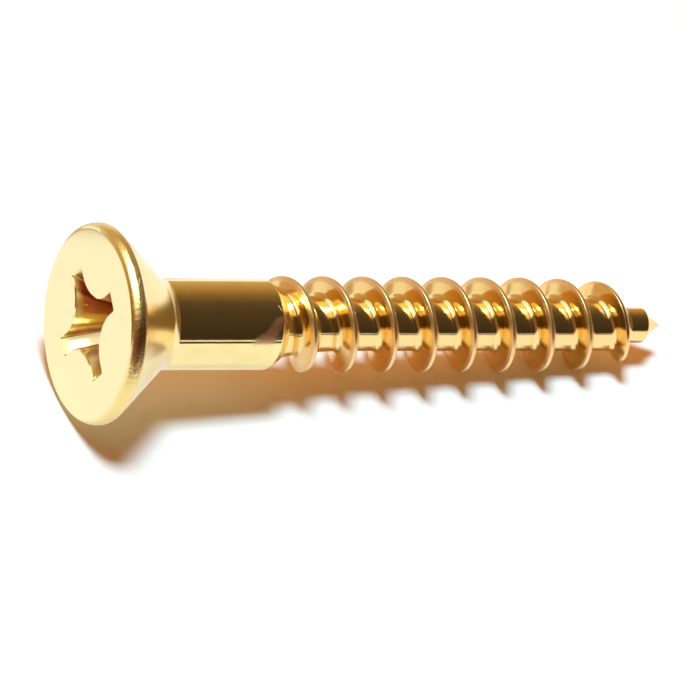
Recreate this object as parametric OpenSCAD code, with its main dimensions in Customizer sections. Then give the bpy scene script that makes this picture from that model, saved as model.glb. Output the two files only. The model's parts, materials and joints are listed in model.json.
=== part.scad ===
// Flat head wood screw, cold headed and thread rolled from one piece of brass wire.
// It is drawn along +Z from the head's flat face to the point, then laid on its side.
// Units are millimetres. Lengths are measured from the head's flat face.

/* [Size] */
// Length from the flat face to the point
screw_len = 31.75; // [26:0.05:40]
// Widest diameter of the head, on its rim
head_d = 9.55; // [7.9:0.05:11.5]
// Diameter of the plain shank
shank_d = 4.35; // [3.6:0.01:5.3]
// Outer diameter of the thread
thread_d = 4.62; // [3.8:0.01:5.6]

/* [Head] */
// Radial width of the rounded rim, from the flat face's edge to the widest diameter
rim_w = 0.285; // [0.1:0.005:0.4]
// Angle at which the rim rises from the flat face's edge, measured from the screw's axis
rim_lean = 62; // [50:1:80]
// Height of the rim, from the flat face to the countersink
rim_h = 0.67; // [0.5:0.01:0.9]
// Included angle of the countersink
sink_angle = 82; // [78:1:92]
// Radius of the hollow neck where the countersink runs into the shank
neck_r = 1.1; // [0.4:0.05:1.6]

/* [Cross recess] */
// Width across the recess, from wing end to wing end
recess_d = 5.4; // [4.4:0.05:6.5]
// Width of a wing
wing_w = 0.94; // [0.78:0.01:1.2]
// Depth of the recess at its centre
recess_depth = 2.9; // [2.4:0.05:3.5]
// Depth at which the wings' end walls meet the bottom
wing_depth = 2.5; // [1.8:0.05:2.5]
// Width across the wings at that depth
foot_d = 2.2; // [1.6:0.05:3]
// Diameter of the round core at the mouth of the recess
core_d = 3.0; // [1.8:0.05:3.6]
// Diameter of the core at its depth
core_foot_d = 1.7; // [1.2:0.05:2.4]
// Turn of the recess about the screw's axis, in degrees
recess_turn = 28; // [0:1:89]

/* [Shank] */
// Length from the flat face to the shank's end
shank_end = 10.0; // [8:0.05:13]
// Length of the bevel on the shank's end
bevel_len = 0.45; // [0.2:0.05:0.8]
// Depth of that bevel
bevel_depth = 0.33; // [0.1:0.01:0.5]
// Radial step from the bevel down to the start of the root
shoulder_step = 0.175; // [0.05:0.005:0.3]

/* [Thread] */
// Pitch of the thread
pitch = 2.2; // [1.8:0.05:2.7]
// Diameter at the root of the thread
root_d = 2.6; // [2.2:0.05:3]
// Length over which the root narrows from the shank's end
runout_len = 4.5; // [2:0.1:6]
// Width of the crest
crest_w = 0.2; // [0.1:0.01:0.3]
// Axial run of the flank that faces the head
head_flank = 0.16; // [0.1:0.01:0.4]
// Axial run of the flank that faces the point
point_flank = 0.6; // [0.3:0.01:0.8]
// Place of a crest on the thread's lowest line, measured beyond the shank's end
crest_offset = 1.82; // [1.2:0.01:2.2]
// Length of the thread's last stretch, where its crest closes in
closing_len = 6.4; // [4:0.1:9]
// Diameter of the crest at the end of that stretch
closing_d = 4.0; // [3.4:0.01:4.2]

/* [Point] */
// Diameter of the plain stub before the point
stub_d = 1.74; // [1.4:0.01:2]
// Length of the stub, from the end of the thread to its rounded shoulder
stub_len = 0.85; // [0.5:0.05:1.5]
// Length of the rounded shoulder
shoulder_len = 0.5; // [0.3:0.05:0.8]
// Diameter of the fine point at its base
point_d = 0.84; // [0.5:0.01:1.1]
// Length of the fine point
point_len = 0.75; // [0.4:0.05:1.2]

/* [Hidden] */
$fn = 96;

head_r = head_d / 2;
face_r = head_r - rim_w;
shank_r = shank_d / 2;
thread_r = thread_d / 2;
root_r = root_d / 2;
runout_r = shank_r - bevel_depth - shoulder_step;
closing_r = closing_d / 2;
stub_r = stub_d / 2;
point_r = point_d / 2;
recess_r = recess_d / 2;
foot_r = foot_d / 2;
core_r = core_d / 2;
core_foot_r = core_foot_d / 2;
sink_half = sink_angle / 2;

// The neck's arc touches the countersink and the shank.
neck_c_r = shank_r + neck_r;
sink_end_r = neck_c_r - neck_r * cos(sink_half);
sink_end_z = rim_h + (head_r - sink_end_r) / tan(sink_half);
neck_c_z = sink_end_z + neck_r * sin(sink_half);

// The rim's arc starts at a crease on the flat face's edge and ends at the widest diameter.
rim_r = rim_w / (1 - cos(rim_lean));
rim_steps = 6;
neck_steps = 6;
shoulder_steps = 5;

// The thread's surface has one column for each step round the screw, and rows that follow the helix.
columns = 40;
thread_end = screw_len - point_len - shoulder_len - stub_len;
// How far the threaded core and the stub reach back inside the piece before them
bury = 1;
thread_start = shank_end - bury;
stub_start = thread_end - bury;
closing_start = thread_end - closing_len;
// A little of the core's end shows round the stub.
end_step = 0.06;
end_r = stub_r + end_step;
// Length over which the root narrows to that radius
end_taper = 0.9;
// Axial lengths over which the thread grows at its start and falls away before its end
crest_rise = 0.45;
crest_fall = 0.75;
crest_fall_turn = 0.55;

// Rows of one pitch: [axial place from the crest's middle, share of the thread's height].
foot_blend = 0.16;
head_foot = 0.1;
point_foot = 0.06;
ROWS = [
    [-crest_w / 2 - head_flank - foot_blend, 0],
    [-crest_w / 2 - head_flank, head_foot],
    [-crest_w / 2, 1],
    [crest_w / 2, 1],
    [crest_w / 2 + point_flank, point_foot],
    [crest_w / 2 + point_flank + foot_blend, 0],
    [pitch / 2 + (crest_w + point_flank) / 4, 0]
];
row_count = len(ROWS);

function ease(t) = let (c = min(1, max(0, t))) c * c * (3 - 2 * c);
function arc(c, r, a0, a1, steps) = [for (k = [0:steps]) let (a = a0 + (a1 - a0) * k / steps)
    [c[0] + r * cos(a), c[1] + r * sin(a)]];

// Root radius at a distance z from the flat face.
function root_at(z) =
    let (start = max(0, min(1, (shank_end + runout_len - z) / runout_len)),
         finish = ease((z - thread_end + end_taper) / end_taper))
    (root_r + (runout_r - root_r) * start * start) * (1 - finish) + end_r * finish;

// Crest radius at a distance z from the flat face.
function crest_at(z) =
    let (closing = max(0, (z - closing_start) / closing_len))
    thread_r - (thread_r - closing_r) * closing * closing;

// Share of the thread's full height on the helix where its crest is at z.
function height_at(z) =
    ease((z - shank_end - crest_w / 2) / crest_rise)
    * (1 - ease((z - thread_end + crest_fall) / crest_fall_turn));

function crest_z(column, turn) = shank_end + crest_offset + pitch * (column / columns + turn);
function row_z(column, row) =
    let (turn = floor(row / row_count)) crest_z(column, turn) + ROWS[row - turn * row_count][0];
function row_r(column, row) =
    let (turn = floor(row / row_count),
         z = row_z(column, row),
         height = ROWS[row - turn * row_count][1] * height_at(crest_z(column, turn)))
    root_at(z) + (crest_at(z) - root_at(z)) * height;

lead_in_turns = 3;
first_row = -row_count * lead_in_turns;
last_row = row_count * ceil((thread_end - shank_end) / pitch + 1);

// The resting tilt: the head's rim and the lowest crest near the point stand on one plane.
full_turns = floor((thread_end - crest_fall - shank_end - crest_offset) / pitch);
tilt = min([for (turn = [0:full_turns]) let (z = crest_z(0, turn) + crest_w / 2)
    atan((head_r - crest_at(z)) / (z - rim_h))]);
rest_h = head_r * cos(tilt) + rim_h * sin(tilt);
mid_x = (screw_len * cos(tilt) - face_r * sin(tilt)) / 2;

// Head, neck and shank, as one turned outline.
module blank() {
    rotate_extrude()
        polygon(concat(
            [[0, 0]],
            arc([head_r - rim_r, rim_r * sin(rim_lean)], rim_r, -rim_lean, 0, rim_steps),
            [[head_r, rim_h]],
            arc([neck_c_r, neck_c_z], neck_r, 180 + sink_half, 180, neck_steps),
            [[shank_r, shank_end - bevel_len],
             [shank_r - bevel_depth, shank_end],
             [0, shank_end]]));
}

// The driver's recess: four wings that narrow towards the centre, round a tapered core.
module recess() {
    mouth = 0.2;
    intersection() {
        rotate_extrude()
            polygon([[0, -mouth], [recess_r, -mouth], [recess_r, 0],
                [foot_r, wing_depth], [0, recess_depth]]);
        union() {
            for (turn = [0, 90])
                rotate([0, 0, turn + recess_turn])
                    translate([-recess_d, -wing_w / 2, -mouth])
                        cube([2 * recess_d, wing_w, recess_depth + 2 * mouth]);
            rotate_extrude()
                polygon([[0, -mouth], [core_r, -mouth], [core_r, 0],
                    [core_foot_r, recess_depth], [0, recess_depth]]);
        }
    }
}

// Root and thread, as one closed surface between two flat ends.
module threaded_core() {
    last_col = columns - 1;
    lows = [for (c = [0:last_col])
        max([for (r = [first_row:last_row]) if (row_z(c, r) <= thread_start) r])];
    highs = [for (c = [0:last_col])
        min([for (r = [first_row:last_row]) if (row_z(c, r) >= thread_end) r])];
    heights = [for (c = [0:last_col]) highs[c] - lows[c] + 1];
    // The first vertex of each column
    starts = [for (c = 0, s = 0; c < columns; s = s + heights[c], c = c + 1) s];
    points = [for (c = [0:last_col], r = [lows[c]:highs[c]])
        let (a = 360 * c / columns,
             z = max(thread_start, min(thread_end, row_z(c, r))),
             radius = r == lows[c] ? root_at(thread_start) : r == highs[c] ? end_r : row_r(c, r))
        [radius * cos(a), radius * sin(a), z]];
    // A row past the seam is the row one turn further on in the first column.
    function at(c, r) =
        let (col = c % columns, row = c == columns ? r + row_count : r)
        starts[col] + max(lows[col], min(highs[col], row)) - lows[col];
    faces = [for (c = [0:last_col], r = [first_row:last_row],
            f = [[at(c, r), at(c, r + 1), at(c + 1, r + 1)], [at(c, r), at(c + 1, r + 1), at(c + 1, r)]])
        if (f[0] != f[1] && f[1] != f[2] && f[2] != f[0]) f];
    base = [for (c = [0:last_col]) at(c, first_row)];
    top = [for (c = [last_col:-1:0]) at(c, last_row + row_count)];
    polyhedron(points, concat(faces, [base], [top]));
}

// Plain stub, rounded shoulder and fine point.
module point() {
    shoulder_z = thread_end + stub_len;
    rotate_extrude()
        polygon(concat(
            [[0, stub_start], [stub_r, stub_start]],
            [for (k = [0:shoulder_steps]) let (a = 90 * k / shoulder_steps)
                [point_r + (stub_r - point_r) * cos(a), shoulder_z + shoulder_len * sin(a)]],
            [[0, screw_len]]));
}

// The whole screw, lying on its rim and on a crest of the thread.
module screw() {
    color([0.86, 0.66, 0.3])
        translate([-mid_x, 0, rest_h])
            rotate([0, 90 + tilt, 0])
                difference() {
                    union() {
                        blank();
                        threaded_core();
                        point();
                    }
                    recess();
                }
}

screw();
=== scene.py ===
"""Looks of a flat head wood screw in polished brass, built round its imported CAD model.

The screw is turned, headed and rolled from one piece, so one closed mesh shows it. The mesh is drawn in
the screw's own cylinder coordinates: z runs along the axis from the flat face to the point, and the angle
turns about it. Sizes are in millimetres there, and in metres once a point is placed in the row's frame.
"""

import json
import logging
import math
from dataclasses import dataclass, field
from enum import Enum

import bmesh
import bpy
from mathutils import Matrix, Vector


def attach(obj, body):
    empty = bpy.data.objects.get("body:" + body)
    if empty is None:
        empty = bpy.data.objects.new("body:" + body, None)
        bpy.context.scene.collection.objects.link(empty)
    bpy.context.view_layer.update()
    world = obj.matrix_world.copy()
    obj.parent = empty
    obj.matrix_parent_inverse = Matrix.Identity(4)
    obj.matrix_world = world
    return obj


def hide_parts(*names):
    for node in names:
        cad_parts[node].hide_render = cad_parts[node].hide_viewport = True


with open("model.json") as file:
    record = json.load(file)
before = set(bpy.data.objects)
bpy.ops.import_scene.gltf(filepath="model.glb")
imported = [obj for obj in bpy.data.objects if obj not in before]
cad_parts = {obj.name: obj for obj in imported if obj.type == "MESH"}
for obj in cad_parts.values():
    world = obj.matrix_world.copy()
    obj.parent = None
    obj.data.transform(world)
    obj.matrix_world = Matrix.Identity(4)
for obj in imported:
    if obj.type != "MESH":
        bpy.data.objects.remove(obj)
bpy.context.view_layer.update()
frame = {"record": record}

LOG = logging.getLogger("wood_screw")
MM = 0.001
PER_MM = 1.0 / MM
FULL_TURN = 360.0
PER_RADIAN = math.degrees(1.0)
BODY = "root"
NODE = "screw"
PIECE = "brass_screw"
DOWN = Vector((0.0, 0.0, -1.0))
FRONT = Vector((0.0, -1.0, 0.0))
RIGHT = Vector((1.0, 0.0, 0.0))

Point = tuple[float, float]
Span = tuple[float, float]
Colour = tuple[float, float, float, float]

WHITE: Colour = (1.0, 1.0, 1.0, 1.0)


# -------- Geometry helpers --------


def ease(t: float) -> float:
    """Smooth step from 0 to 1 as t goes from 0 to 1, clamped outside them."""
    c = min(1.0, max(0.0, t))
    return c * c * (3.0 - 2.0 * c)


class Facing(Enum):
    """The end of the screw that a closing fan of faces looks towards."""

    HEAD = "head"
    POINT = "point"


@dataclass(frozen=True)
class Corner:
    """A corner of an outline, with the radius that rounds it."""

    x: float
    y: float
    radius: float = 0.0
    steps: int = 5


def rounded(corners: list[Corner]) -> list[Point]:
    """An open outline through corners, with an arc at each corner that has a radius.

    Args:
        corners: The corners in order. The first and the last stay sharp.

    Returns:
        The outline's points.
    """
    points: list[Point] = []
    last = len(corners) - 1
    for k, corner in enumerate(corners):
        if corner.radius <= 0.0 or k in (0, last):
            points.append((corner.x, corner.y))
            continue
        here = Vector((corner.x, corner.y))
        back = (Vector((corners[k - 1].x, corners[k - 1].y)) - here).normalized()
        ahead = (Vector((corners[k + 1].x, corners[k + 1].y)) - here).normalized()
        half = back.angle(ahead) / 2.0
        reach = corner.radius / math.tan(half)
        centre = here + (back + ahead).normalized() * (corner.radius / math.sin(half))
        first = here + back * reach - centre
        final = here + ahead * reach - centre
        sweep = first.angle_signed(final)
        for step in range(corner.steps + 1):
            turned = first.copy()
            turned.rotate(Matrix.Rotation(-sweep * step / corner.steps, 2))
            points.append((centre.x + turned.x, centre.y + turned.y))
    return points


@dataclass(frozen=True)
class Axis:
    """The lying screw's own axis in the row's frame."""

    face: Vector
    along: Vector

    @classmethod
    def of_record(cls, record: dict) -> "Axis":
        """The axis through the record's drive recess, from the flat face to the point."""
        mount = next(m for m in record["mounts"] if m["name"] == "drive_recess")
        return cls(Vector(mount["pos_m"]), -Vector(mount["axis"]).normalized())

    @property
    def low(self) -> Vector:
        """The direction square to the axis that points most nearly down."""
        return (DOWN - self.along * DOWN.dot(self.along)).normalized()

    @property
    def side(self) -> Vector:
        """The direction that a right-hand turn about the axis carries low to."""
        return self.along.cross(self.low)

    def outward(self, degrees: float) -> Vector:
        """The direction square to the axis at an angle from straight up, turning to the front."""
        turn = math.radians(degrees)
        return FRONT * math.sin(turn) - self.low * math.cos(turn)

    def place(self, radius: float, degrees: float, z: float) -> Vector:
        """A point in the row's frame from the screw's cylinder coordinates.

        Args:
            radius: Distance from the axis in millimetres.
            degrees: Right-hand turn about the axis from the lowest line.
            z: Distance from the flat face in millimetres.

        Returns:
            The point in metres.
        """
        turn = math.radians(degrees)
        out = self.low * math.cos(turn) + self.side * math.sin(turn)
        return self.face + (out * radius + self.along * z) * MM


# -------- The screw's mesh --------


@dataclass
class SurfaceBuilder:
    """Collects vertices and faces of one closed surface, whose faces all look outwards."""

    axis: Axis
    points: list[Vector] = field(default_factory=list)
    faces: list[tuple[int, ...]] = field(default_factory=list)

    def ring(self, columns: list[float], radii: list[float], heights: list[float]) -> list[int]:
        """Adds a closed ring of vertices.

        Args:
            columns: The turn of each vertex in degrees.
            radii: The radius of each vertex.
            heights: The distance of each vertex from the flat face.

        Returns:
            The indices of the new vertices.
        """
        start = len(self.points)
        for degrees, radius, z in zip(columns, radii, heights):
            self.points.append(self.axis.place(radius, degrees, z))
        return list(range(start, len(self.points)))

    def level_ring(self, columns: list[float], radius: float, z: float) -> list[int]:
        """Adds a round ring square to the axis and returns the indices of its vertices."""
        return self.ring(columns, [radius] * len(columns), [z] * len(columns))

    def centre(self, z: float) -> int:
        """Adds one vertex on the axis and returns its index."""
        return self.ring([0.0], [0.0], [z])[0]

    def quad(self, a: int, b: int, c: int, d: int) -> None:
        """Adds a four-sided face, or a triangle where two of its corners are one vertex.

        Args:
            a: The first corner. The corners run counter-clockwise, seen from outside.
            b: The second corner.
            c: The third corner.
            d: The fourth corner.
        """
        corners = list(dict.fromkeys((a, b, c, d)))
        if len(corners) > 2:
            self.faces.append(tuple(corners))

    def skin(self, near: list[int], far: list[int], inwards: bool = False) -> None:
        """Joins two rings of the same length by a wall.

        Args:
            near: The ring closer to the flat face.
            far: The ring closer to the point.
            inwards: True for the wall of a hole, which looks towards the axis.
        """
        count = len(near)
        for k in range(count):
            n = (k + 1) % count
            if inwards:
                self.quad(near[k], far[k], far[n], near[n])
            else:
                self.quad(near[k], near[n], far[n], far[k])

    def fan(self, ring: list[int], apex: int, facing: Facing) -> None:
        """Closes a ring onto one vertex.

        Args:
            ring: The ring's vertices.
            apex: The vertex on the axis.
            facing: The end of the screw that the new faces look towards.
        """
        count = len(ring)
        for k in range(count):
            here = ring[k]
            after = ring[(k + 1) % count]
            self.faces.append((here, after, apex) if facing is Facing.POINT else (after, here, apex))

    def plate(self, rim: list[int], mouth: list[int]) -> None:
        """Fills the flat face between its edge and the recess's mouth.

        Args:
            rim: The ring at the face's edge.
            mouth: The ring round the recess.
        """
        flat = bmesh.new()
        made = {k: flat.verts.new(self.points[k]) for k in rim + mouth}
        edges = []
        for ring in (rim, mouth):
            for k, vertex in enumerate(ring):
                edges.append(flat.edges.new((made[vertex], made[ring[(k + 1) % len(ring)]])))
        bmesh.ops.triangle_fill(flat, use_beauty=True, edges=edges)
        named = {vertex: k for k, vertex in made.items()}
        for face in flat.faces:
            corners = [named[v] for v in face.verts]
            face.normal_update()
            if face.normal.dot(self.axis.along) > 0.0:
                corners.reverse()
            self.faces.append(tuple(corners))
        flat.free()

    def mesh(self, name: str) -> bpy.types.Mesh:
        """The collected surface as a mesh.

        Args:
            name: The mesh's name.

        Returns:
            The new mesh.
        """
        mesh = bpy.data.meshes.new(name)
        mesh.from_pydata([tuple(p) for p in self.points], [], self.faces)
        mesh.validate()
        return mesh


@dataclass(frozen=True)
class Head:
    """The countersunk head, its rim and the neck under it."""

    face_r: float = 4.49
    head_r: float = 4.766
    rim_h: float = 0.67
    rim_lean_deg: float = 62.0
    sink_half_deg: float = 41.0
    neck_r: float = 1.2
    neck_end_deg: float = 14.0
    face_edge_r: float = 0.05
    face_edge_steps: int = 3
    rim_edge_r: float = 0.12
    rim_edge_steps: int = 5
    rim_steps: int = 12
    neck_steps: int = 14

    def rim(self) -> list[Corner]:
        """The rounded land from the flat face's edge to the rim's widest line.

        Returns:
            Its corners, each the radius and the distance from the flat face.
        """
        lean = math.radians(self.rim_lean_deg)
        radius = (self.head_r - self.face_r) / (1.0 - math.cos(lean))
        crown = radius * math.sin(lean)
        corners = [Corner(self.face_r, 0.0, self.face_edge_r, self.face_edge_steps)]
        for k in range(1, self.rim_steps + 1):
            turn = lean * (1.0 - k / self.rim_steps)
            inset = radius * (1.0 - math.cos(turn))
            corners.append(Corner(self.head_r - inset, crown - radius * math.sin(turn)))
        return corners

    def neck(self, shank_r: float) -> list[Corner]:
        """The countersink's cone and the hollow neck, which meets the shank at a faint crease.

        Args:
            shank_r: Radius of the shank.

        Returns:
            The corners from the rim's lower edge to the start of the shank.
        """
        half = math.radians(self.sink_half_deg)
        crease = math.radians(self.neck_end_deg)
        centre_r = shank_r + self.neck_r * math.cos(crease)
        end_r = centre_r - self.neck_r * math.cos(half)
        end_z = self.rim_h + (self.head_r - end_r) / math.tan(half)
        centre_z = end_z + self.neck_r * math.sin(half)
        corners = [Corner(self.head_r, self.rim_h, self.rim_edge_r, self.rim_edge_steps)]
        for k in range(self.neck_steps + 1):
            turn = half + (crease - half) * k / self.neck_steps
            radius = centre_r - self.neck_r * math.cos(turn)
            corners.append(Corner(radius, centre_z - self.neck_r * math.sin(turn)))
        return corners


@dataclass(frozen=True)
class Recess:
    """The cross recess, struck into the flat face with a little draft."""

    reach: float = 2.7
    half_w: float = 0.47
    corner_r: float = 1.75
    end_r: float = 0.1
    end_r_share: float = 0.4
    least_run: float = 0.02
    depth: float = 2.9
    wing_depth: float = 2.5
    foot_reach: float = 1.1
    foot_half_w: float = 0.36
    foot_corner_r: float = 0.5
    lip: float = 0.05
    turn_deg: float = 26.0
    side_steps: int = 4
    corner_steps: int = 14
    end_steps: int = 4
    depth_steps: int = 16
    wing_turns: tuple[tuple[int, int], ...] = ((1, 0), (0, 1), (-1, 0), (0, -1))

    def outline(self, reach: float, half_w: float, corner_r: float) -> list[Point]:
        """The recess's outline at one depth.

        Args:
            reach: Length of a wing from the axis.
            half_w: Half the width of a wing.
            corner_r: Radius of the hollow corners between wings.

        Returns:
            Points from the middle of one wing's end, all the way round.
        """
        end_r = min(self.end_r, half_w * self.end_r_share)
        root = half_w + corner_r
        run = max(reach - end_r - root, self.least_run)
        quarter = [(reach, (half_w - end_r) * k / self.end_steps) for k in range(self.end_steps)]
        for k in range(self.end_steps + 1):
            turn = math.pi / 2.0 * k / self.end_steps
            inset = end_r * (1.0 - math.cos(turn))
            quarter.append((reach - inset, half_w - end_r * (1.0 - math.sin(turn))))
        for k in range(1, self.side_steps):
            quarter.append((root + run * (1.0 - k / self.side_steps), half_w))
        for k in range(self.corner_steps + 1):
            turn = math.pi / 2.0 * k / self.corner_steps
            quarter.append((root - corner_r * math.sin(turn), root - corner_r * math.cos(turn)))
        mirrored = [(y, x) for x, y in reversed(quarter[1 : -self.corner_steps - 1])]
        arm = quarter + mirrored
        points: list[Point] = []
        for c, s in self.wing_turns:
            points.extend((x * c - y * s, x * s + y * c) for x, y in arm)
        return points

    def levels(self) -> list[tuple[float, list[Point]]]:
        """Outlines from the mouth to the foot of the wings.

        Returns:
            Pairs of a depth and the outline there.
        """
        mouth = self.outline(self.reach + self.lip, self.half_w + self.lip, self.corner_r)
        found = [(0.0, mouth), (self.lip, self.outline(self.reach, self.half_w, self.corner_r))]
        for k in range(1, self.depth_steps + 1):
            share = k / self.depth_steps
            depth = self.lip + (self.wing_depth - self.lip) * share
            reach = self.reach + (self.foot_reach - self.reach) * share
            half_w = self.half_w + (self.foot_half_w - self.half_w) * share
            corner_r = self.corner_r + (self.foot_corner_r - self.corner_r) * share
            found.append((depth, self.outline(reach, half_w, corner_r)))
        return found

    def sink(self, builder: SurfaceBuilder) -> list[int]:
        """Builds the recess.

        Args:
            builder: Where the vertices and faces go.

        Returns:
            The vertices of its mouth, in the flat face.
        """
        rings: list[list[int]] = []
        for depth, outline in self.levels():
            turns = [math.degrees(math.atan2(y, x)) + self.turn_deg for x, y in outline]
            radii = [math.hypot(x, y) for x, y in outline]
            rings.append(builder.ring(turns, radii, [depth] * len(outline)))
        for near, far in zip(rings, rings[1:]):
            builder.skin(near, far, inwards=True)
        builder.fan(rings[-1], builder.centre(self.depth), Facing.HEAD)
        return rings[0]


@dataclass(frozen=True)
class Thread:
    """The rolled thread and its root, between the shank's end and the stub."""

    start_z: float = 9.88
    end_z: float = 29.65
    outer_r: float = 2.31
    root_r: float = 1.28
    runout_r: float = 1.70
    runout_len: float = 4.0
    pitch: float = 2.2
    crest_offset: float = 1.94
    closing_len: float = 6.4
    closing_r: float = 2.0
    crest_w: float = 0.2
    head_edge_r: float = 0.04
    head_edge_steps: int = 4
    point_edge_r: float = 0.13
    point_edge_steps: int = 6
    head_flank: float = 0.24
    head_foot_r: float = 0.32
    head_foot_steps: int = 9
    point_flank: float = 0.5
    point_foot_r: float = 0.24
    point_foot_steps: int = 7
    root_steps: int = 5
    run_in: float = 0.55
    crest_rise: float = 0.5
    crest_fall: float = 0.75
    crest_fall_turn: float = 0.55
    end_r: float = 0.93
    end_taper: float = 0.9
    spare_turns: int = 2

    def section(self) -> list[Point]:
        """One pitch of the thread's section.

        Returns:
            Pairs of an axial place from the crest's middle and a share of the thread's height.
        """
        half = self.crest_w / 2.0
        height = self.outer_r - self.root_r
        corners = [
            Corner(half + self.point_flank - self.pitch, 0.0),
            Corner(-half - self.head_flank, 0.0, self.head_foot_r, self.head_foot_steps),
            Corner(-half, height, self.head_edge_r, self.head_edge_steps),
            Corner(half, height, self.point_edge_r, self.point_edge_steps),
            Corner(half + self.point_flank, 0.0, self.point_foot_r, self.point_foot_steps),
            Corner(self.pitch - half - self.head_flank, 0.0),
        ]
        tooth = rounded(corners)[1:-1]
        foot = tooth[-1][0]
        gap = tooth[0][0] + self.pitch - foot
        gaps = self.root_steps + 1
        return [(z, y / height) for z, y in tooth] + [(foot + gap * k / gaps, 0.0) for k in range(1, gaps)]

    def root_at(self, z: float) -> float:
        """Root radius at a place on the screw.

        Args:
            z: Distance from the flat face.

        Returns:
            The radius.
        """
        start = min(1.0, max(0.0, (self.start_z + self.runout_len - z) / self.runout_len))
        finish = ease((z - self.end_z + self.end_taper) / self.end_taper)
        radius = self.root_r + (self.runout_r - self.root_r) * start * start
        return radius * (1.0 - finish) + self.end_r * finish

    def crest_at(self, z: float) -> float:
        """Crest radius at a distance z from the flat face."""
        closing = max(0.0, (z - self.end_z + self.closing_len) / self.closing_len)
        return self.outer_r - (self.outer_r - self.closing_r) * closing * closing

    def height_at(self, z: float) -> float:
        """How much of its full height the thread has.

        Args:
            z: Distance of the thread's crest from the flat face.

        Returns:
            The share, from 0 to 1.
        """
        rise = ease((z - self.start_z + self.run_in) / self.crest_rise)
        fall = ease((z - self.end_z + self.crest_fall) / self.crest_fall_turn)
        return rise * (1.0 - fall)

    def lay_column(self, builder: SurfaceBuilder, degrees: float, rows: list[tuple[int, Point]]) -> list[int]:
        """Adds the vertices on one line along the screw.

        Args:
            builder: Where the vertices go.
            degrees: Turn of the line about the axis from the lowest line.
            rows: Pairs of a turn of the thread and a point of its section.

        Returns:
            The vertex of each row. Rows before the start share its vertex, and so do those past the end.
        """
        lead = self.start_z + self.crest_offset + self.pitch * degrees / FULL_TURN
        column: list[Point] = []
        for turn, (offset, full_share) in rows:
            crest_z = lead + self.pitch * turn
            z = crest_z + offset
            root = self.root_at(z)
            share = full_share * self.height_at(crest_z)
            column.append((z, root + (self.crest_at(z) - root) * share))
        low = max(r for r, (z, _) in enumerate(column) if z <= self.start_z)
        high = min(r for r, (z, _) in enumerate(column) if z >= self.end_z)
        column[low] = (self.start_z, self.root_at(self.start_z))
        column[high] = (self.end_z, self.end_r)
        start = len(builder.points)
        for z, radius in column[low : high + 1]:
            builder.points.append(builder.axis.place(radius, degrees, z))
        return [start + min(max(r, low), high) - low for r in range(len(rows))]

    def roll(self, builder: SurfaceBuilder, columns: list[float]) -> tuple[list[int], list[int]]:
        """Builds the threaded length.

        Args:
            builder: Where the vertices and faces go.
            columns: The turn of each column in degrees.

        Returns:
            The flat rings at its start and its end.
        """
        section = self.section()
        turns = math.ceil((self.end_z - self.start_z) / self.pitch) + self.spare_turns
        rows = [(turn, point) for turn in range(-self.spare_turns, turns) for point in section]
        index = [self.lay_column(builder, degrees, rows) for degrees in columns]
        top = len(rows) - 1
        for c, here in enumerate(index):
            # Past the last column, a row goes on as the same row of the next turn.
            step = len(section) if c == len(index) - 1 else 0
            after = index[(c + 1) % len(index)]
            for r in range(top):
                near = after[min(r + step, top)]
                far = after[min(r + 1 + step, top)]
                builder.quad(here[r], near, far, here[r + 1])
        return [column[0] for column in index], [column[-1] for column in index]


@dataclass(frozen=True)
class Tip:
    """The plain stub, its flat step and the fine point."""

    stub_r: float = 0.87
    stub_end: float = 30.66
    edge_r: float = 0.09
    edge_steps: int = 6
    point_r: float = 0.72
    foot_r: float = 0.03
    foot_steps: int = 3
    screw_len: float = 31.75
    hold: float = 0.05
    cone_shares: tuple[float, ...] = (0.4, 0.75, 0.93)

    def outline(self, start_z: float) -> list[Point]:
        """The stub and the fine point, without the point's own vertex.

        Args:
            start_z: Where the thread ends.

        Returns:
            The radius and the distance from the flat face of each ring.
        """
        corners = [
            Corner(self.stub_r, start_z),
            Corner(self.stub_r, start_z + self.hold),
            Corner(self.stub_r, self.stub_end - self.edge_r - self.hold),
            Corner(self.stub_r, self.stub_end, self.edge_r, self.edge_steps),
            Corner(self.point_r, self.stub_end, self.foot_r, self.foot_steps),
            Corner(0.0, self.screw_len),
        ]
        cone_len = self.screw_len - self.stub_end
        cone = [(self.point_r * (1.0 - s), self.stub_end + cone_len * s) for s in self.cone_shares]
        return rounded(corners)[:-1] + cone


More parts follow.
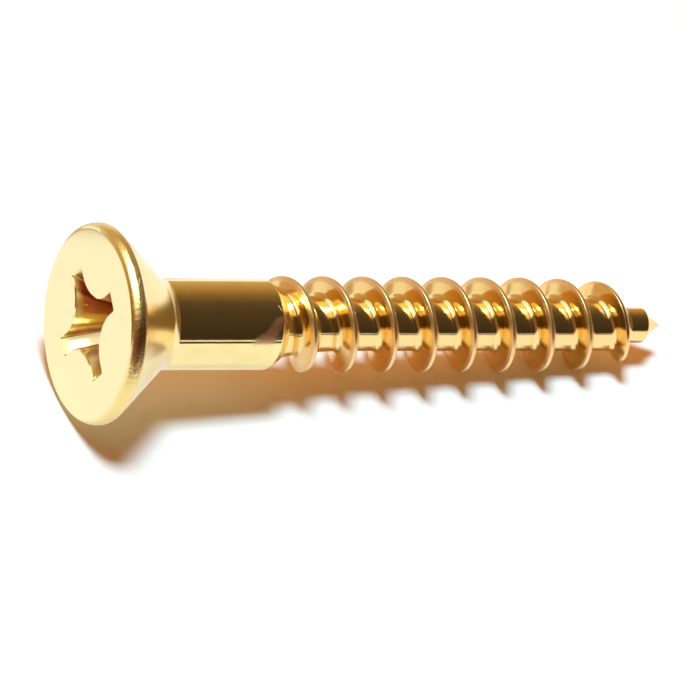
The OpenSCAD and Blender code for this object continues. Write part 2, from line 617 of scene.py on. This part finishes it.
@dataclass(frozen=True)
class WoodScrew:
    """The whole screw as one closed mesh."""

    head: Head = Head()
    recess: Recess = Recess()
    thread: Thread = Thread()
    tip: Tip = Tip()
    shank_r: float = 2.175
    face_hold: float = 0.1
    neck_hold: float = 0.03
    bevel_hold: float = 0.09
    bevel_len: float = 0.5
    bevel_depth: float = 0.29
    bevel_start_r: float = 0.12
    bevel_end_r: float = 0.05
    bevel_steps: int = 4
    columns: int = 192
    sharp_deg: float = 34.0

    def turned_outline(self) -> list[Point]:
        """The outline of the head, the neck and the shank.

        Returns:
            The radius and the distance from the flat face of each ring.
        """
        end = self.thread.start_z
        bevel = end - self.bevel_len
        corners = [Corner(self.head.face_r - self.face_hold, 0.0)]
        corners += self.head.rim()
        corners += self.head.neck(self.shank_r)
        corners += [
            Corner(self.shank_r, corners[-1].y + self.neck_hold),
            Corner(self.shank_r, (self.head.rim_h + end) / 2.0),
            Corner(self.shank_r, bevel - self.bevel_hold),
            Corner(self.shank_r, bevel, self.bevel_start_r, self.bevel_steps),
            Corner(self.shank_r - self.bevel_depth, end, self.bevel_end_r, self.bevel_steps),
            Corner(self.thread.runout_r, end),
        ]
        return rounded(corners)[:-1]

    def build(self, axis: Axis) -> bpy.types.Object:
        """Makes the screw's object.

        Args:
            axis: Where the screw lies.

        Returns:
            The object.
        """
        builder = SurfaceBuilder(axis)
        columns = [FULL_TURN * k / self.columns for k in range(self.columns)]
        rings = [builder.level_ring(columns, r, z) for r, z in self.turned_outline()]
        for near, far in zip(rings, rings[1:]):
            builder.skin(near, far)
        start, last = self.thread.roll(builder, columns)
        builder.skin(rings[-1], start)
        for r, z in self.tip.outline(self.thread.end_z):
            ring = builder.level_ring(columns, r, z)
            builder.skin(last, ring)
            last = ring
        builder.fan(last, builder.centre(self.tip.screw_len), Facing.POINT)
        mouth = self.recess.sink(builder)
        builder.plate(rings[0], mouth)
        mesh = builder.mesh(PIECE)
        for polygon in mesh.polygons:
            polygon.use_smooth = True
        mesh.set_sharp_from_angle(angle=math.radians(self.sharp_deg))
        screw = bpy.data.objects.new(PIECE, mesh)
        bpy.context.scene.collection.objects.link(screw)
        return screw

    @staticmethod
    def dress(screw: bpy.types.Object, axis: Axis, finish: "PolishedBrass") -> None:
        """Gives the screw's object its finish."""
        screw.data.materials.append(finish.material(axis))


# -------- Shader graph helpers --------


# The colour sockets of a Mix node: its two inputs and its output
MIX_FIRST = 6
MIX_SECOND = 7
MIX_RESULT = 2


class Ray(Enum):
    """The kinds of ray that a surface or the world answers differently."""

    CAMERA = "Is Camera Ray"
    GLOSSY = "Is Glossy Ray"


class Value:
    """A socket, which Python's operators work on where it carries a number."""

    def __init__(self, graph: "Graph", socket: bpy.types.NodeSocket | None) -> None:
        """Wraps a socket of a graph."""
        self.graph = graph
        self.socket = socket

    def _math(self, operation: str, first: "Value | float", second: "Value | float") -> "Value":
        """One Math node."""
        return self.graph.node("ShaderNodeMath", {"operation": operation}, {0: first, 1: second})

    def __add__(self, other: "Value | float") -> "Value":
        """self + other."""
        return self._math("ADD", self, other)

    __radd__ = __add__

    def __mul__(self, other: "Value | float") -> "Value":
        """self * other."""
        return self._math("MULTIPLY", self, other)

    __rmul__ = __mul__

    def __sub__(self, other: "Value | float") -> "Value":
        """self - other."""
        return self._math("SUBTRACT", self, other)

    def __rsub__(self, other: "Value | float") -> "Value":
        """other - self."""
        return self._math("SUBTRACT", other, self)

    def __pow__(self, other: "Value | float") -> "Value":
        """self ** other."""
        return self._math("POWER", self, other)

    def __rpow__(self, other: "Value | float") -> "Value":
        """other ** self."""
        return self._math("POWER", other, self)

    def between(self, low: float, high: float, start: float = 0.0, end: float = 1.0) -> "Value":
        """A smooth step as the value goes from one limit to the other.

        Args:
            low: The limit where the step starts, which may be the larger one.
            high: The limit where the step ends.
            start: The result up to the first limit.
            end: The result past the second limit.

        Returns:
            The result.
        """
        smooth = {"interpolation_type": "SMOOTHSTEP"}
        limits = {"Value": self, "From Min": low, "From Max": high, "To Min": start, "To Max": end}
        return self.graph.node("ShaderNodeMapRange", smooth, limits)

    def band(self, rise: Span, fall: Span) -> "Value":
        """1 between two soft edges, and 0 outside them."""
        return self.between(*rise) * self.between(*fall)


class Graph:
    """A node tree that is written with plain calls."""

    def __init__(self, tree: bpy.types.NodeTree) -> None:
        """Empties a tree and wraps it."""
        self.tree = tree
        tree.nodes.clear()

    def node(
        self, kind: str, settings: dict | None = None, inputs: dict | None = None, out: int | str = 0
    ) -> Value:
        """Adds a node.

        Args:
            kind: The node's type.
            settings: Its settings, set first. A ramp's stops are a list of place and colour under "stops".
            inputs: Values or links of its sockets, by name or number.
            out: The output that is returned, by name or number.

        Returns:
            The chosen output, or an empty value from a node that has no output.
        """
        made = self.tree.nodes.new(kind)
        for name, value in (settings or {}).items():
            if name == "stops":
                elements = made.color_ramp.elements
                while len(elements) < len(value):
                    elements.new(0.5)
                for element, (place, colour) in zip(elements, value):
                    element.position = place
                    element.color = colour
            else:
                setattr(made, name, value)
        for name, value in (inputs or {}).items():
            if isinstance(value, Value):
                self.tree.links.new(value.socket, made.inputs[name])
            else:
                made.inputs[name].default_value = value
        return Value(self, made.outputs[out] if len(made.outputs) else None)

    def mix(self, share: Value, first: "Value | Colour", second: "Value | Colour") -> Value:
        """Mixes two colours by a share of the second."""
        inputs = {0: share, MIX_FIRST: first, MIX_SECOND: second}
        return self.node("ShaderNodeMix", {"data_type": "RGBA"}, inputs, MIX_RESULT)

    def blend(self, share: Value, first: Value, second: Value) -> Value:
        """Mixes two shaders by a share of the second."""
        return self.node("ShaderNodeMixShader", None, {0: share, 1: first, 2: second})

    def dot(self, place: Value, direction: Vector) -> Value:
        """How far a place lies along a direction."""
        inputs = {0: place, 1: tuple(direction)}
        return self.node("ShaderNodeVectorMath", {"operation": "DOT_PRODUCT"}, inputs, "Value")

    def bearing(self, across: Value, ahead: Value) -> Value:
        """The angle in degrees from ahead towards across, given how far a place lies along both."""
        inputs = {0: across, 1: ahead}
        return self.node("ShaderNodeMath", {"operation": "ARCTAN2"}, inputs) * PER_RADIAN

    def ray(self, kind: Ray) -> Value:
        """1 for rays of a kind, and 0 for all others."""
        return self.node("ShaderNodeLightPath", out=kind.value)


# -------- Finishes --------


@dataclass(frozen=True)
class SurfacePlace:
    """Where a point of the surface lies in the screw's own coordinates, in millimetres and degrees."""

    graph: Graph
    low: Value
    side: Value
    z: Value
    radius: Value
    turn: Value
    local: Value

    @classmethod
    def on(cls, graph: Graph, axis: Axis) -> "SurfacePlace":
        """Works out the place.

        Args:
            graph: The material's graph.
            axis: The screw's axis.

        Returns:
            The place, as values of the graph.
        """
        place = graph.node("ShaderNodeTexCoord", out="Object")
        inputs = {0: place, 1: tuple(axis.face)}
        from_face = graph.node("ShaderNodeVectorMath", {"operation": "SUBTRACT"}, inputs)
        z = graph.dot(from_face, axis.along) * PER_MM
        low = graph.dot(from_face, axis.low) * PER_MM
        side = graph.dot(from_face, axis.side) * PER_MM
        radius = (low * low + side * side) ** 0.5
        local = graph.node("ShaderNodeCombineXYZ", None, {0: low, 1: side, 2: z})
        return cls(graph, low, side, z, radius, graph.bearing(side, low), local)


@dataclass(frozen=True)
class Grain:
    """Soft, uneven variation from 0 to 1, with its scale per millimetre."""

    scale: float
    detail: float
    rough: float = 0.5

    def at(self, place: SurfacePlace) -> Value:
        """The variation at a place."""
        inputs = {"Scale": self.scale, "Detail": self.detail, "Roughness": self.rough}
        return place.graph.node("ShaderNodeTexNoise", None, {"Vector": place.local, **inputs})


@dataclass(frozen=True)
class Relief:
    """A bump in the surface, with its strength and its height in millimetres."""

    strength: float
    height: float

    def over(self, shape: Value, normal: Value | None = None) -> Value:
        """The way the surface faces once a shape is raised on it.

        Args:
            shape: The shape, from 0 to 1.
            normal: The way it faced before, where another bump changed it.

        Returns:
            The new direction.
        """
        inputs = {"Strength": self.strength, "Distance": self.height * MM, "Height": shape}
        if normal is not None:
            inputs["Normal"] = normal
        return shape.graph.node("ShaderNodeBump", None, inputs)


@dataclass(frozen=True)
class Scratch:
    """A fine helical scratch at the end of the shank, in two strokes."""

    start_z: float = 9.18
    start_deg: float = -155.0
    lead: float = 0.0205
    half_w: float = 0.04
    core_half_w: float = 0.015
    first: tuple[Span, Span] = ((-157.0, -154.0), (-146.0, -149.0))
    second: tuple[Span, Span] = ((-144.0, -140.0), (-127.0, -131.0))
    roughness: float = 0.45

    def mask(self, place: SurfacePlace) -> Value:
        """How much of the scratch shows.

        Args:
            place: Where on the surface.

        Returns:
            A share from 0 to 1.
        """
        line = place.z - (place.turn - self.start_deg) * self.lead - self.start_z
        stroke = line.band((-self.half_w, -self.core_half_w), (self.half_w, self.core_half_w))
        return stroke * (place.turn.band(*self.first) + place.turn.band(*self.second))


@dataclass(frozen=True)
class Smudge:
    """A dull, ragged smudge that slants across the end of the shank."""

    tone: Colour = (0.66, 0.24, 0.11, 1.0)
    roughness: float = 0.42
    grain: Grain = Grain(2.6, 4.0, 0.65)
    swing: float = 1.5
    middle_deg: float = -121.4
    head_slant: float = 0.034
    head_edge: Span = (8.05, 8.60)
    point_slant: float = 0.015
    point_edge: Span = (9.50, 9.00)
    ragged_z: float = 0.6
    ragged_deg: float = 12.0
    back_edge: Span = (-149.0, -138.0)
    front_edge: Span = (-98.0, -118.0)
    cover: float = 0.85
    uneven: float = 0.35

    def mask(self, place: SurfacePlace) -> Value:
        """How much of the smudge shows.

        Args:
            place: Where on the surface.

        Returns:
            A share from 0 to about 1.
        """
        ragged = self.grain.at(place) * self.swing - self.swing / 2.0
        slant = place.turn - self.middle_deg
        head_side = (place.z + slant * self.head_slant + ragged * self.ragged_z).between(*self.head_edge)
        point_side = (place.z + slant * self.point_slant + ragged * self.ragged_z).between(*self.point_edge)
        spread = place.turn + ragged * self.ragged_deg
        inside = head_side * point_side * spread.band(self.back_edge, self.front_edge)
        return inside * (ragged * self.uneven + self.cover)


@dataclass(frozen=True)
class Tarnish:
    """A dark, ragged patch on the front of the rim."""

    tone: Colour = (0.62, 0.31, 0.13, 1.0)
    cover: float = 0.85
    ragged_deg: float = 45.0
    back_edge: Span = (-140.0, -122.0)
    front_edge: Span = (-100.0, -109.0)

    def mask(self, place: SurfacePlace, grain: Value) -> Value:
        """How much of the patch shows, where grain from 0 to 1 makes its ends ragged."""
        ragged = place.turn + (grain - 0.5) * self.ragged_deg
        return ragged.band(self.back_edge, self.front_edge) * self.cover


@dataclass(frozen=True)
class RecessPaintedLight:
    """The struck recess's painted light: a painted amber reflection on walls between painted shade, and a
    painted highlight on one wing's end wall.

    Three directions square to the axis part the walls, each given as its parts along side and low: up is
    nearly straight up, left is away from the front, and wing is along the wing with the painted highlight.
    """

    # Painted light in the recess: an amber reflection, shade and a highlight painted onto its walls.
    painted_amber_reflection: Colour = (0.94, 0.62, 0.16, 1.0)
    painted_recess_shade: Colour = (0.62, 0.28, 0.12, 1.0)
    painted_recess_highlight: Colour = (0.99, 0.92, 0.66, 1.0)
    start_z: Span = (0.1, 0.5)
    up: Point = (0.62, -0.78)
    left: Point = (-0.78, -0.62)
    wing: Point = (0.90, -0.44)
    wing_draft: float = 0.044
    amber_reflection_up: tuple[Span, Span] = ((-0.30, -0.15), (0.50, 0.30))
    upper_painted_shade: Span = (0.30, 0.50)
    lower_painted_shade: tuple[Span, Span] = ((-0.15, -0.30), (-0.80, -0.68))
    highlight_left: Span = (0.35, -0.25)
    highlight_wing: Span = (0.43, 0.36)
    highlight_up: Span = (0.0, -0.15)

    @staticmethod
    def reach(place: SurfacePlace, direction: Point) -> Value:
        """How far a place lies along one of the three directions."""
        return place.side * direction[0] + place.low * direction[1]

    def over(self, place: SurfacePlace, in_recess: Value, tone: Value) -> Value:
        """Lays the recess's painted shade, painted amber reflection and painted highlight over the brass.

        Args:
            place: Where on the surface.
            in_recess: 1 in the recess and 0 elsewhere.
            tone: The colour before.

        Returns:
            The new colour.
        """
        graph = place.graph
        inner = in_recess * place.z.between(*self.start_z)
        up = self.reach(place, self.up)
        left = self.reach(place, self.left).between(*self.highlight_left)
        wing = (self.reach(place, self.wing) + place.z * self.wing_draft).between(*self.highlight_wing)
        # Painted shade on the upper walls and on a band of the lower ones, a painted amber reflection between
        # them, and a painted highlight on one wing's end wall.
        painted_shade = up.between(*self.upper_painted_shade) + up.band(*self.lower_painted_shade)
        tone = graph.mix(inner * up.band(*self.amber_reflection_up), tone, self.painted_amber_reflection)
        tone = graph.mix(inner * painted_shade, tone, self.painted_recess_shade)
        return graph.mix(inner * left * wing * up.between(*self.highlight_up), tone, self.painted_recess_highlight)


@dataclass(frozen=True)
class PolishedBrass:
    """Bright brass, burnished by tumbling, with a speckled rim, a little handling wear, and painted shade, a
    painted reflection and a painted highlight in the recess.
    """

    base: Colour = (0.97, 0.81, 0.40, 1.0)
    deep: Colour = (0.95, 0.76, 0.34, 1.0)
    face: Colour = (0.98, 0.87, 0.49, 1.0)
    rim: Colour = (0.97, 0.76, 0.31, 1.0)
    rolled: Colour = (0.96, 0.72, 0.32, 1.0)
    flank: Colour = (0.94, 0.65, 0.25, 1.0)
    crest: Colour = (0.92, 0.62, 0.30, 1.0)
    # The recess's painted shade, painted amber reflection and painted highlight.
    recess: RecessPaintedLight = RecessPaintedLight()
    tarnish: Tarnish = Tarnish()
    scratch: Scratch = Scratch()
    smudge: Smudge = Smudge()
    roughness: float = 0.07
    face_roughness: float = 0.12
    rim_roughness: float = 0.23
    neck_roughness: float = 0.16
    thread_roughness: float = 0.11
    crest_roughness: float = 0.34
    recess_roughness: float = 0.28
    least_polish: float = 0.7
    polish_swing: float = 0.6
    polish: Grain = Grain(14.0, 4.0, 0.6)
    cloud: Grain = Grain(0.9, 3.0)
    cloud_edge: Span = (0.40, 0.75)
    speckle: Grain = Grain(7.0, 3.0, 0.7)
    speckle_relief: Relief = Relief(0.5, 0.06)
    dents: Grain = Grain(1.6, 2.0)
    dent_relief: Relief = Relief(0.12, 0.02)
    face_z: Span = (0.03, 0.0)
    face_r: Span = (4.6, 4.45)
    rim_z: tuple[Span, Span] = ((0.03, 0.12), (0.80, 0.66))
    rim_r: Span = (4.35, 4.45)
    neck_z: tuple[Span, Span] = ((0.66, 0.9), (3.87, 3.84))
    recess_z: tuple[Span, Span] = ((0.02, 0.08), (3.1, 3.0))
    recess_r: Span = (3.05, 2.95)
    recess_draft: float = 0.5
    thread_z: Span = (9.9, 10.4)
    flank_r: Span = (1.45, 1.7)
    crest_r: Span = (1.98, 2.16)

    def material(self, axis: Axis) -> bpy.types.Material:
        """Makes the material.

        Args:
            axis: The screw's axis, which the marks follow.

        Returns:
            The new material.
        """
        material = bpy.data.materials.new("polished_brass")
        material.use_nodes = True
        graph = Graph(material.node_tree)
        place = SurfacePlace.on(graph, axis)
        z = place.z
        radius = place.radius

        on_face = z.between(*self.face_z) * radius.between(*self.face_r)
        on_rim = z.band(*self.rim_z) * radius.between(*self.rim_r)
        in_mouth = (radius + z * self.recess_draft).between(*self.recess_r)
        in_recess = z.band(*self.recess_z) * in_mouth
        on_thread = z.between(*self.thread_z)
        on_crest = on_thread * radius.between(*self.crest_r)
        speckle = self.speckle.at(place)
        smudge = self.smudge.mask(place)

        tone = graph.mix(self.cloud.at(place).between(*self.cloud_edge), self.base, self.deep)
        tone = graph.mix(on_face, tone, self.face)
        tone = graph.mix(on_rim, tone, self.rim)
        tone = graph.mix(on_rim * self.tarnish.mask(place, speckle), tone, self.tarnish.tone)
        tone = graph.mix(on_thread, tone, self.rolled)
        tone = graph.mix(on_thread * radius.between(*self.flank_r), tone, self.flank)
        tone = graph.mix(on_crest, tone, self.crest)
        # The recess gets painted shade, a painted amber reflection and a painted highlight.
        tone = self.recess.over(place, in_recess, tone)
        tone = graph.mix(smudge, tone, self.smudge.tone)

        rough = self.roughness * (self.least_polish + self.polish.at(place) * self.polish_swing)
        rough += on_face * (self.face_roughness - self.roughness)
        rough += on_rim * (self.rim_roughness - self.roughness)
        rough += z.band(*self.neck_z) * (self.neck_roughness - self.roughness)
        rough += on_thread * (self.thread_roughness - self.roughness)
        rough += on_crest * (self.crest_roughness - self.thread_roughness)
        rough += self.scratch.mask(place) * self.scratch.roughness
        rough += in_recess * (self.recess_roughness - self.roughness)
        rough += smudge * self.smudge.roughness

        normal = self.dent_relief.over(self.dents.at(place))
        normal = self.speckle_relief.over(speckle * on_rim, normal)
        finish = {"Base Color": tone, "Metallic": 1.0, "Roughness": rough, "Normal": normal}
        shader = graph.node("ShaderNodeBsdfPrincipled", None, finish)
        graph.node("ShaderNodeOutputMaterial", None, {"Surface": shader})
        return material


# -------- Studio --------


@dataclass(frozen=True)
class Panel:
    """A soft, even light panel that faces the screw."""

    name: str
    azimuth_deg: float
    elevation_deg: float
    distance: float
    width: float
    height: float
    power: float
    colour: tuple[float, float, float]

    def hang(self) -> bpy.types.Object:
        """Adds the light.

        Returns:
            The light object.
        """
        light = bpy.data.lights.new(self.name, "AREA")
        light.shape = "RECTANGLE"
        light.size = self.width
        light.size_y = self.height
        light.energy = self.power
        light.color = self.colour
        lamp = bpy.data.objects.new(self.name, light)
        turn = math.radians(self.azimuth_deg)
        rise = math.radians(self.elevation_deg)
        back = Vector((math.sin(turn) * math.cos(rise), -math.cos(turn) * math.cos(rise), math.sin(rise)))
        lamp.location = back * self.distance
        lamp.rotation_euler = back.to_track_quat("Z", "Y").to_euler()
        lamp.visible_camera = False
        bpy.context.scene.collection.objects.link(lamp)
        return lamp


@dataclass(frozen=True)
class Floor:
    """A plain white sheet that the screw lies on, with a strip of sheet across a gap in front of it.

    Reflections find it glowing white near the head, with a painted tan reflection behind the thread. Far from
    the screw it is as white as the background. Lengths are in metres.
    """

    half_w: float = 0.6
    back: float = 0.6
    front: float = -0.024
    strip: Span = (-0.09, -0.043)
    albedo: float = 0.95
    glow_share: float = 0.8
    glow_x: Span = (-0.003, -0.0055)
    # A painted tan reflection: a glow that only glossy rays see on the sheet behind the thread.
    painted_tan_reflection: Colour = (0.42, 0.30, 0.16, 1.0)
    painted_tan_share: float = 0.75
    painted_tan_x: Span = (-0.001, -0.003)
    painted_tan_y: tuple[Span, Span] = ((0.0125, 0.0145), (0.027, 0.023))
    far: Span = (0.06, 0.12)

    def material(self) -> bpy.types.Material:
        """Makes the sheet's material.

        Returns:
            The new material.
        """
        material = bpy.data.materials.new("white_sheet")
        material.use_nodes = True
        graph = Graph(material.node_tree)
        paper = (self.albedo, self.albedo, self.albedo, 1.0)
        sheet = graph.node("ShaderNodeBsdfDiffuse", None, {"Color": paper})
        white = graph.node("ShaderNodeEmission", None, {"Color": WHITE, "Strength": 1.0})
        painted_tan_reflection = graph.node("ShaderNodeEmission", None, {"Color": self.painted_tan_reflection, "Strength": 1.0})
        place = graph.node("ShaderNodeNewGeometry")
        x = graph.dot(place, RIGHT)
        y = graph.dot(place, -FRONT)
        distance = graph.node("ShaderNodeVectorMath", {"operation": "LENGTH"}, {0: place}, "Value")
        glow = graph.ray(Ray.GLOSSY) * x.between(*self.glow_x, 0.0, self.glow_share)
        clear = graph.ray(Ray.CAMERA) * distance.between(*self.far)
        # Where glossy rays see the painted tan reflection on the sheet behind the thread.
        on_painted_tan = y.band(*self.painted_tan_y) * x.between(*self.painted_tan_x, 0.0, self.painted_tan_share)
        shader = graph.blend(glow + clear, sheet, white)
        shader = graph.blend(graph.ray(Ray.GLOSSY) * on_painted_tan, shader, painted_tan_reflection)
        graph.node("ShaderNodeOutputMaterial", None, {"Surface": shader})
        return material

    def lay(self) -> None:
        """Adds the sheets."""
        material = self.material()
        w = self.half_w
        for name, near, far in (("floor", self.front, self.back), ("floor_strip", *self.strip)):
            corners = [(-w, near, 0.0), (w, near, 0.0), (w, far, 0.0), (-w, far, 0.0)]
            mesh = bpy.data.meshes.new(name)
            mesh.from_pydata(corners, [], [(0, 1, 2, 3)])
            mesh.materials.append(material)
            sheet = bpy.data.objects.new(name, mesh)
            bpy.context.scene.collection.objects.link(sheet)


@dataclass(frozen=True)
class Studio:
    """A soft lamp overhead, and a room whose parts are placed by their angle to the screw's axis.

    Only reflections find the room. Everything else gets a warm fill, most of it from behind the point.
    """

    fill: Colour = (0.90, 0.255, 0.03, 1.0)
    near_fill: Colour = (0.12, 0.027, 0.003, 1.0)
    fill_from: tuple[float, float, float] = (0.45, 0.89, 0.0)
    fill_edge: Span = (-0.5, 0.6)
    side: Colour = (0.24, 0.12, 0.045, 1.0)
    side_turn: Span = (-30.0, 10.0)
    side_along: Span = (-0.1, -0.4)
    strip: Colour = (1.35, 1.25, 1.0, 1.0)
    strip_turn: tuple[Span, Span] = ((-52.0, -34.0), (34.0, 24.0))
    strip_along: tuple[Span, Span] = ((-0.92, -0.80), (0.24, 0.08))
    wall: Colour = (0.80, 0.72, 0.62, 1.0)
    wall_shade: Colour = (0.20, 0.125, 0.055, 1.0)
    wall_turn: Span = (-85.0, -35.0)
    wall_along: Span = (0.66, 0.80)
    room_half_deg: float = 90.0
    room_stops: tuple[tuple[float, Colour], ...] = (
        (-90.0, (0.66, 0.46, 0.26, 1.0)),
        (-79.0, (0.61, 0.40, 0.19, 1.0)),
        (-49.0, (0.43, 0.25, 0.09, 1.0)),
        (-27.0, (0.23, 0.135, 0.055, 1.0)),
        (-5.0, (0.105, 0.07, 0.038, 1.0)),
        (20.0, (0.078, 0.048, 0.028, 1.0)),
        (80.0, (0.046, 0.032, 0.02, 1.0)),
    )
    key: Panel = Panel(
        name="key",
        azimuth_deg=-104.9,
        elevation_deg=81.1,
        distance=0.5,
        width=0.13,
        height=0.13,
        power=2.75,
        colour=(0.66, 0.91, 0.99),
    )

    def room(self, graph: Graph, ray: Value, axis: Axis) -> Value:
        """What polished metal sees above the floor.

        Args:
            graph: The world's graph.
            ray: The direction that is looked in.
            axis: The screw's axis.

        Returns:
            The colour in that direction.
        """
        half = self.room_half_deg
        along = graph.dot(ray, axis.along)
        turn = graph.bearing(graph.dot(ray, FRONT), graph.dot(ray, -axis.low))
        stops = [((place + half) / (2.0 * half), colour) for place, colour in self.room_stops]
        share = (turn + half) * (1.0 / (2.0 * half))
        colour = graph.node("ShaderNodeValToRGB", {"stops": stops}, {"Fac": share})
        at_side = along.between(*self.side_along) * turn.between(*self.side_turn)
        colour = graph.mix(at_side, colour, self.side)
        at_strip = turn.band(*self.strip_turn) * along.band(*self.strip_along)
        colour = graph.mix(at_strip, colour, self.strip)
        wall = graph.mix(turn.between(*self.wall_turn), self.wall, self.wall_shade)
        return graph.mix(along.between(*self.wall_along), colour, wall)

    def light(self, axis: Axis) -> None:
        """Sets the world and the lamp.

        Args:
            axis: The screw's axis.
        """
        world = bpy.data.worlds.new("studio")
        bpy.context.scene.world = world
        world.use_nodes = True
        world.cycles.sampling_method = "NONE"
        graph = Graph(world.node_tree)
        ray = graph.node("ShaderNodeTexCoord", out="Generated")
        behind = graph.dot(ray, Vector(self.fill_from)).between(*self.fill_edge)
        colour = graph.mix(behind, self.near_fill, self.fill)
        colour = graph.mix(graph.ray(Ray.GLOSSY), colour, self.room(graph, ray, axis))
        colour = graph.mix(graph.ray(Ray.CAMERA), colour, WHITE)
        background = graph.node("ShaderNodeBackground", None, {"Color": colour})
        graph.node("ShaderNodeOutputWorld", None, {"Surface": background})
        self.key.hang()


@dataclass(frozen=True)
class Camera:
    """A long lens that looks down on the screw from the head's side and sees its axis lie level."""

    section_deg: float = 49.0
    lean_deg: float = 29.5
    centre_z: float = 14.2
    drop: float = 1.229
    distance: float = 312.4
    lens: float = 334.3
    sensor: float = 36.0
    clip_start: float = 0.01

    def set_up(self, axis: Axis) -> bpy.types.Object:
        """Adds the camera and makes it the scene's.

        Args:
            axis: The screw's axis.

        Returns:
            The camera object.
        """
        data = bpy.data.cameras.new("camera")
        data.lens = self.lens
        data.sensor_width = self.sensor
        data.clip_start = self.clip_start
        camera = bpy.data.objects.new("camera", data)
        lean = math.radians(self.lean_deg)
        facing = axis.outward(self.section_deg)
        back = (facing * math.cos(lean) - axis.along * math.sin(lean)).normalized()
        right = (axis.along + back * math.sin(lean)).normalized()
        up = back.cross(right)
        matrix = Matrix((right, up, back)).transposed().to_4x4()
        centre = axis.face + (axis.along * self.centre_z - up * self.drop) * MM
        matrix.translation = centre + back * self.distance * MM
        camera.matrix_world = matrix
        bpy.context.scene.collection.objects.link(camera)
        bpy.context.scene.camera = camera
        return camera


def main() -> None:
    """Builds the camera, the screw and the studio."""
    logging.basicConfig(level=logging.INFO, format="%(message)s")
    bpy.context.scene.view_settings.view_transform = "Standard"
    axis = Axis.of_record(frame["record"])
    Camera().set_up(axis)
    design = WoodScrew()
    screw = design.build(axis)
    design.dress(screw, axis, PolishedBrass())
    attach(screw, BODY)
    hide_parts(NODE)
    LOG.info("%s: %d faces", screw.name, len(screw.data.polygons))
    Floor().lay()
    Studio().light(axis)


if __name__ == "__main__":
    main()
